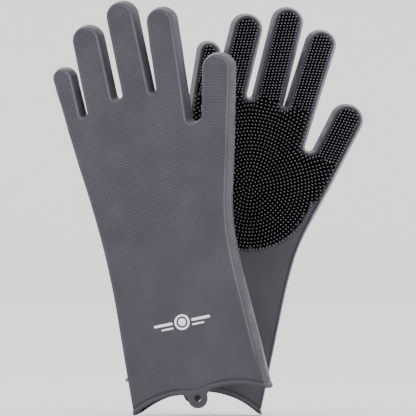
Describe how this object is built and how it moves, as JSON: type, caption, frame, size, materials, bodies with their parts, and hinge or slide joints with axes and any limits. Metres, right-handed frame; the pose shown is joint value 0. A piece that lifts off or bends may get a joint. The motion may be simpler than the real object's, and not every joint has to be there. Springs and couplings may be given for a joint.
{
  "type": "pair of silicone grooming gloves",
  "caption": "Pair of long-cuffed moulded silicone gloves with bristled palms and fingers, dotted backs, rolled hems and hang tabs.",
  "frame": {"origin": "middle of the mouth of the right cuff, level with the hang holes", "axes": "+Z towards the finger tips, -Y towards the left glove, whose back faces -Y; +X towards both thumbs"},
  "size_m": [0.2681, 0.1421, 0.3547],
  "materials": {
    "back": "satin moulded silicone with raised micro dots",
    "cuff": "satin smooth moulded silicone",
    "hem": "satin moulded silicone, thicker edge",
    "bristles": "satin moulded silicone pins with lighter tips",
    "print": "matte white printed ink"
  },
  "bodies": {
    "right_hand": {"right_hand": "back", "right_palm_bristles": "bristles", "right_wrist_flex": "cuff", "right_thumb_knuckle": "back", "right_index_knuckle": "back", "right_middle_knuckle": "back", "right_ring_knuckle": "back", "right_little_knuckle": "back"},
    "right_cuff": {"right_cuff": "cuff", "right_hem": "hem", "right_hang_tab": "hem"},
    "right_thumb": {"right_thumb_sheath": "back", "right_thumb_bristles": "bristles"},
    "right_index": {"right_index_sheath": "back", "right_index_bristles": "bristles"},
    "right_middle": {"right_middle_sheath": "back", "right_middle_bristles": "bristles"},
    "right_ring": {"right_ring_sheath": "back", "right_ring_bristles": "bristles"},
    "right_little": {"right_little_sheath": "back", "right_little_bristles": "bristles"},
    "left_hand": {"left_hand": "back", "left_palm_bristles": "bristles", "left_wrist_flex": "cuff", "left_thumb_knuckle": "back", "left_index_knuckle": "back", "left_middle_knuckle": "back", "left_ring_knuckle": "back", "left_little_knuckle": "back"},
    "left_cuff": {"left_cuff": "cuff", "left_hem": "hem", "left_hang_tab": "hem", "left_print": "print"},
    "left_thumb": {"left_thumb_sheath": "back", "left_thumb_bristles": "bristles"},
    "left_index": {"left_index_sheath": "back", "left_index_bristles": "bristles"},
    "left_middle": {"left_middle_sheath": "back", "left_middle_bristles": "bristles"},
    "left_ring": {"left_ring_sheath": "back", "left_ring_bristles": "bristles"},
    "left_little": {"left_little_sheath": "back", "left_little_bristles": "bristles"}
  },
  "joints": [
    {"name": "right_wrist_bend", "type": "hinge", "parent": "right_hand", "child": "right_cuff", "pos_m": [0.02688, 0, 0.11284], "axis": [-0.9691, -0.0872, 0.2309], "range_deg": [-30, 30], "stiffness_Nm_per_rad": 0.2, "deforming": ["right_wrist_flex"]},
    {"name": "right_thumb_bend", "type": "hinge", "parent": "right_hand", "child": "right_thumb", "pos_m": [0.11539, 0.00544, 0.21614], "axis": [0.8874, 0.0847, -0.4531], "range_deg": [-15, 60], "stiffness_Nm_per_rad": 0.08, "deforming": ["right_thumb_knuckle"]},
    {"name": "right_index_bend", "type": "hinge", "parent": "right_hand", "child": "right_index", "pos_m": [0.09232, 0.00257, 0.2607], "axis": [0.9526, 0.087, -0.2915], "range_deg": [-15, 80], "stiffness_Nm_per_rad": 0.08, "deforming": ["right_index_knuckle"]},
    {"name": "right_middle_bend", "type": "hinge", "parent": "right_hand", "child": "right_middle", "pos_m": [0.06419, 0, 0.26946], "axis": [0.9691, 0.0872, -0.2309], "range_deg": [-15, 80], "stiffness_Nm_per_rad": 0.08, "deforming": ["right_middle_knuckle"]},
    {"name": "right_ring_bend", "type": "hinge", "parent": "right_hand", "child": "right_ring", "pos_m": [0.03195, -0.00286, 0.27509], "axis": [0.9691, 0.0872, -0.2309], "range_deg": [-15, 80], "stiffness_Nm_per_rad": 0.08, "deforming": ["right_ring_knuckle"]},
    {"name": "right_little_bend", "type": "hinge", "parent": "right_hand", "child": "right_little", "pos_m": [0.00445, -0.00519, 0.27444], "axis": [0.973, 0.0871, -0.2139], "range_deg": [-15, 80], "stiffness_Nm_per_rad": 0.08, "deforming": ["right_little_knuckle"]},
    {"name": "left_wrist_bend", "type": "hinge", "parent": "left_hand", "child": "left_cuff", "pos_m": [-0.01791, -0.1, 0.11329], "axis": [0.9587, -0.1908, 0.2108], "range_deg": [-30, 30], "stiffness_Nm_per_rad": 0.2, "deforming": ["left_wrist_flex"]},
    {"name": "left_thumb_bend", "type": "hinge", "parent": "left_hand", "child": "left_thumb", "pos_m": [0.01593, -0.11191, 0.24463], "axis": [-0.9823, 0.1855, 0.0248], "range_deg": [-15, 60], "stiffness_Nm_per_rad": 0.08, "deforming": ["left_thumb_knuckle"]},
    {"name": "left_index_bend", "type": "hinge", "parent": "left_hand", "child": "left_index", "pos_m": [-0.02377, -0.10563, 0.2748], "axis": [-0.9703, 0.1904, -0.149], "range_deg": [-15, 80], "stiffness_Nm_per_rad": 0.08, "deforming": ["left_index_knuckle"]},
    {"name": "left_middle_bend", "type": "hinge", "parent": "left_hand", "child": "left_middle", "pos_m": [-0.05248, -0.1, 0.27054], "axis": [-0.9587, 0.1908, -0.2108], "range_deg": [-15, 80], "stiffness_Nm_per_rad": 0.08, "deforming": ["left_middle_knuckle"]},
    {"name": "left_ring_bend", "type": "hinge", "parent": "left_hand", "child": "left_ring", "pos_m": [-0.0835, -0.09374, 0.26167], "axis": [-0.9587, 0.1908, -0.2108], "range_deg": [-15, 80], "stiffness_Nm_per_rad": 0.08, "deforming": ["left_ring_knuckle"]},
    {"name": "left_little_bend", "type": "hinge", "parent": "left_hand", "child": "left_little", "pos_m": [-0.10759, -0.08865, 0.24921], "axis": [-0.9548, 0.1908, -0.2278], "range_deg": [-15, 80], "stiffness_Nm_per_rad": 0.08, "deforming": ["left_little_knuckle"]},
    {"name": "left_glove_lift", "type": "slide", "parent": "right_hand", "child": "left_hand", "axis": [0, -1, 0], "range_m": [0, 0.2]}
  ]
}
